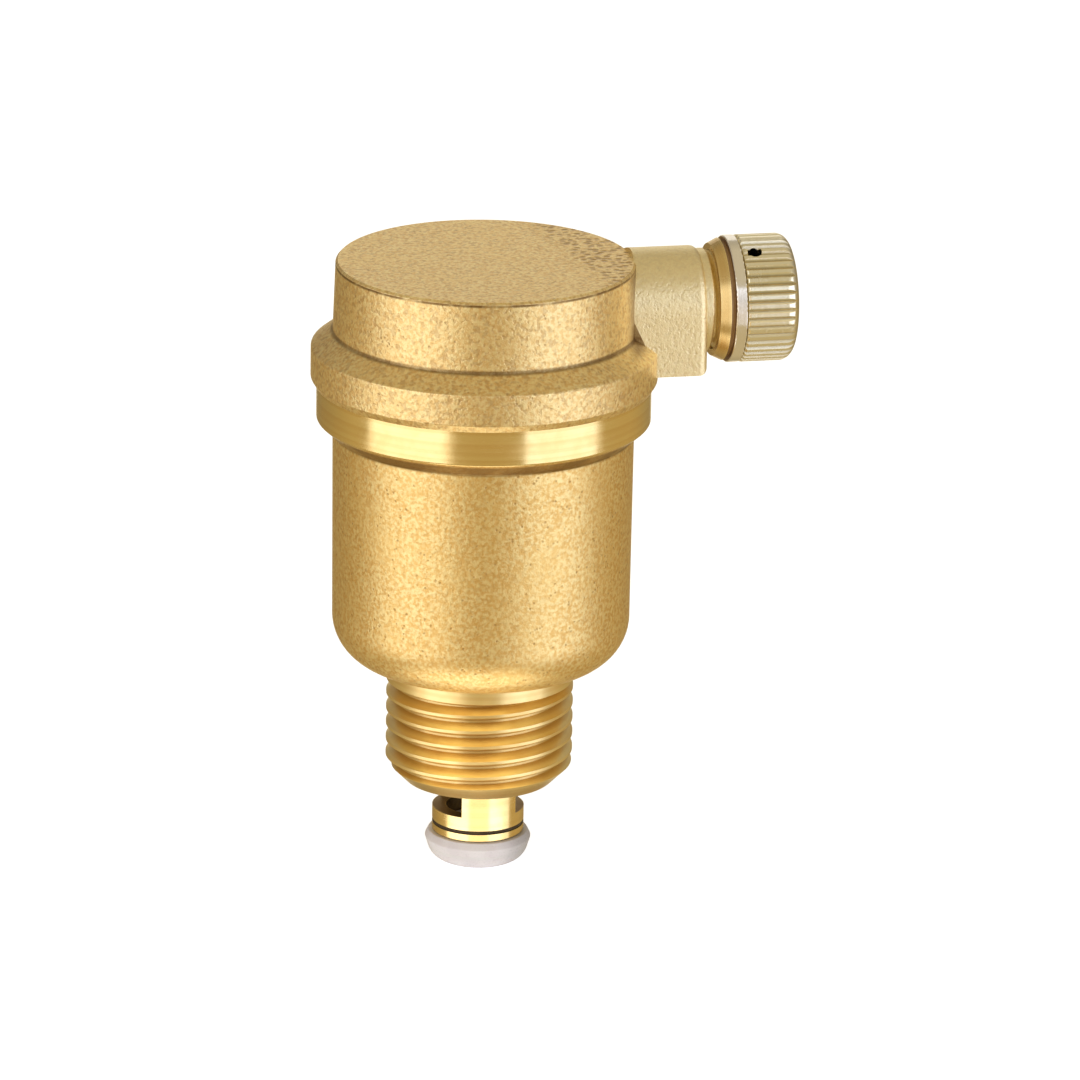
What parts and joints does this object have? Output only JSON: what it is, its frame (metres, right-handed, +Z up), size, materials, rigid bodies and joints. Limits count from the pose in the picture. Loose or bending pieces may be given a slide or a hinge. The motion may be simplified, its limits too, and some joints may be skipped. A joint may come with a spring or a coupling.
{
  "type": "automatic air vent",
  "caption": "Brass float-type automatic air vent with a threaded inlet below, a side outlet with a knurled vent cap, and a spring-loaded inlet shut-off.",
  "frame": {"origin": "centre of the flat shoulder that the inlet thread starts from, on the body's axis", "axes": "+Z up the body's axis, away from the inlet; +X along the side outlet, out of the vent cap; +Y completes a right-handed frame"},
  "size_m": [0.0534, 0.0384, 0.0714],
  "materials": {
    "cast_brass": "fine-blasted golden brass casting, collar and thread turned bright",
    "turned_brass": "bright turned brass",
    "stainless": "stamped and drawn stainless steel",
    "float_plastic": "moulded polypropylene, off-white",
    "head_plastic": "moulded white plastic, slightly translucent",
    "black_rubber": "matt black rubber"
  },
  "bodies": {
    "vent_body": {"body": "cast_brass", "cover": "cast_brass", "cover_seal": "black_rubber", "valve_seat": "turned_brass", "lever_bracket": "stainless", "pivot_pin": "stainless", "pivot_clip": "stainless", "shutoff_spring": "stainless", "spring_retainer": "turned_brass", "retaining_clip": "stainless"},
    "float": {"float_cup": "float_plastic", "float_lid": "float_plastic", "float_pin": "stainless"},
    "lever": {"valve_lever": "stainless", "valve_pad": "black_rubber"},
    "gasket": {"cap_gasket": "black_rubber"},
    "vent_cap": {"vent_cap": "turned_brass"},
    "shutoff": {"shutoff_spool": "turned_brass", "spool_seal": "black_rubber", "shutoff_head": "head_plastic"}
  },
  "joints": [
    {"name": "float_lift", "type": "slide", "parent": "vent_body", "child": "float", "axis": [0, 0, 1], "range_m": [0, 0.00199]},
    {"name": "lever_tilt", "type": "hinge", "parent": "vent_body", "child": "lever", "pos_m": [0.0096, 0, 0.0348], "axis": [0, 1, 0], "range_deg": [0, 12]},
    {"name": "cap_travel", "type": "slide", "parent": "vent_body", "child": "gasket", "axis": [1, 0, 0], "range_m": [0, 0.002]},
    {"name": "cap_turn", "type": "hinge", "parent": "gasket", "child": "vent_cap", "pos_m": [0.0253, 0, 0.0408], "axis": [1, 0, 0], "range_deg": [0, 720.1]},
    {"name": "shutoff_slide", "type": "slide", "parent": "vent_body", "child": "shutoff", "axis": [0, 0, 1], "range_m": [0, 0.0061], "stiffness_N_per_m": 120, "springref_m": -0.004, "deforming": ["shutoff_spring"]}
  ],
  "couplings": [
    {"joint": "lever_tilt", "follows": "float_lift", "rad_per_m": 104.9},
    {"joint": "cap_turn", "follows": "cap_travel", "rad_per_m": 6283.2}
  ]
}
